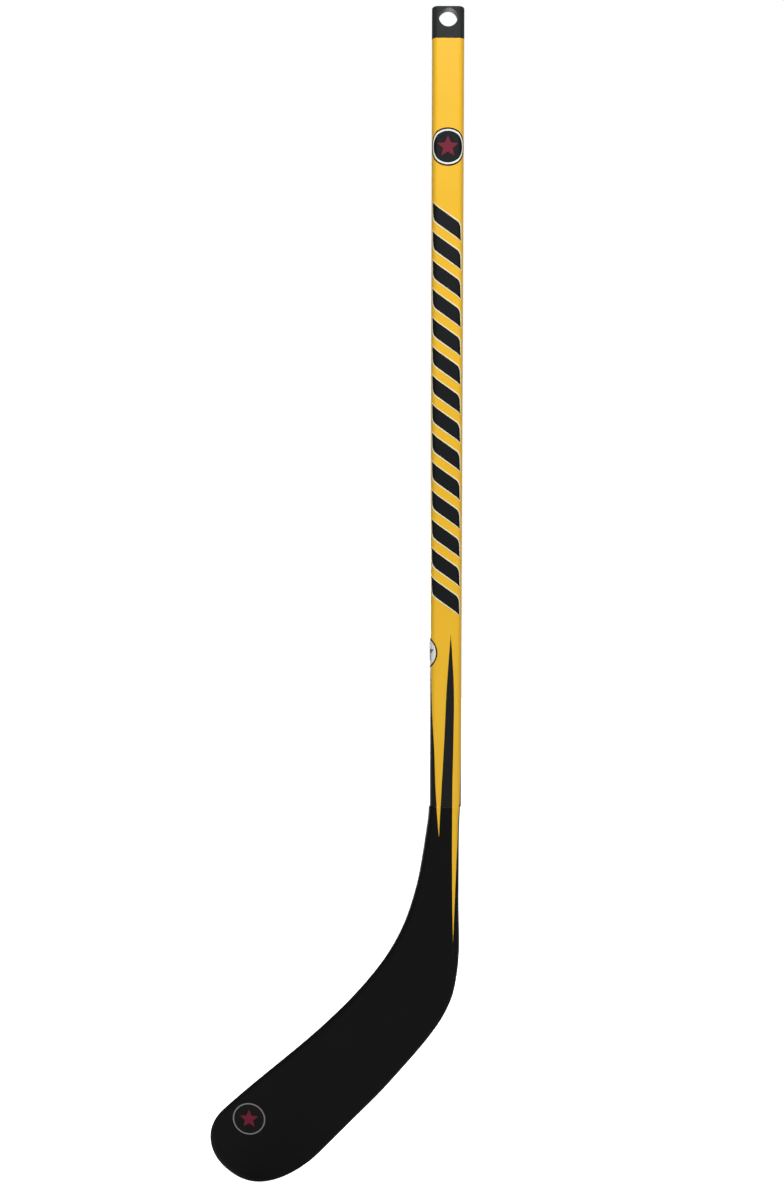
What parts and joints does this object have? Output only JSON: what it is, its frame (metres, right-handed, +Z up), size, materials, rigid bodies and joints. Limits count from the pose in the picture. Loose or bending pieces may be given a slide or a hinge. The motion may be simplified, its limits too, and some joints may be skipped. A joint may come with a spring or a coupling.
{
  "type": "mini ice hockey stick",
  "caption": "Mini hockey stick: hollow rounded-rectangle shaft, butt cap with a hang hole, and a curved blade with a rounded toe.",
  "frame": {"origin": "centre of the end cap's top face, on the shaft's axis", "axes": "+Z up along the shaft to the butt end; the wide front face looks along -Y; the toe points to -X and bends back to +Y"},
  "size_m": [0.1138, 0.0305, 0.5327],
  "materials": {
    "cap_plastic": "moulded, lightly textured",
    "yellow_paint": "semi-gloss painted laminate",
    "black_paint": "satin painted laminate",
    "laminate": "bare fibre laminate",
    "hot_melt": "hot-melt glue",
    "epoxy": "cured epoxy",
    "dense_core": "dense moulded core",
    "foam": "rigid closed-cell foam",
    "badge_film": "printed film",
    "white_film": "printed film",
    "band_film": "printed film"
  },
  "bodies": {
    "root": {"end_cap": "cap_plastic", "shaft_tube": "yellow_paint", "cap_glue": "hot_melt", "blade_tenon": "laminate", "tenon_glue": "epoxy", "blade_shell_front": "black_paint", "blade_shell_back": "black_paint", "heel_core": "dense_core", "blade_rib": "laminate", "foam_core_upper": "foam", "foam_core_lower": "foam", "shaft_badge_front": "badge_film", "shaft_badge_back": "badge_film", "side_badge": "white_film", "shaft_band_front": "band_film", "shaft_band_back": "band_film", "blade_badge_front": "badge_film", "blade_badge_back": "badge_film"}
  },
  "joints": []
}
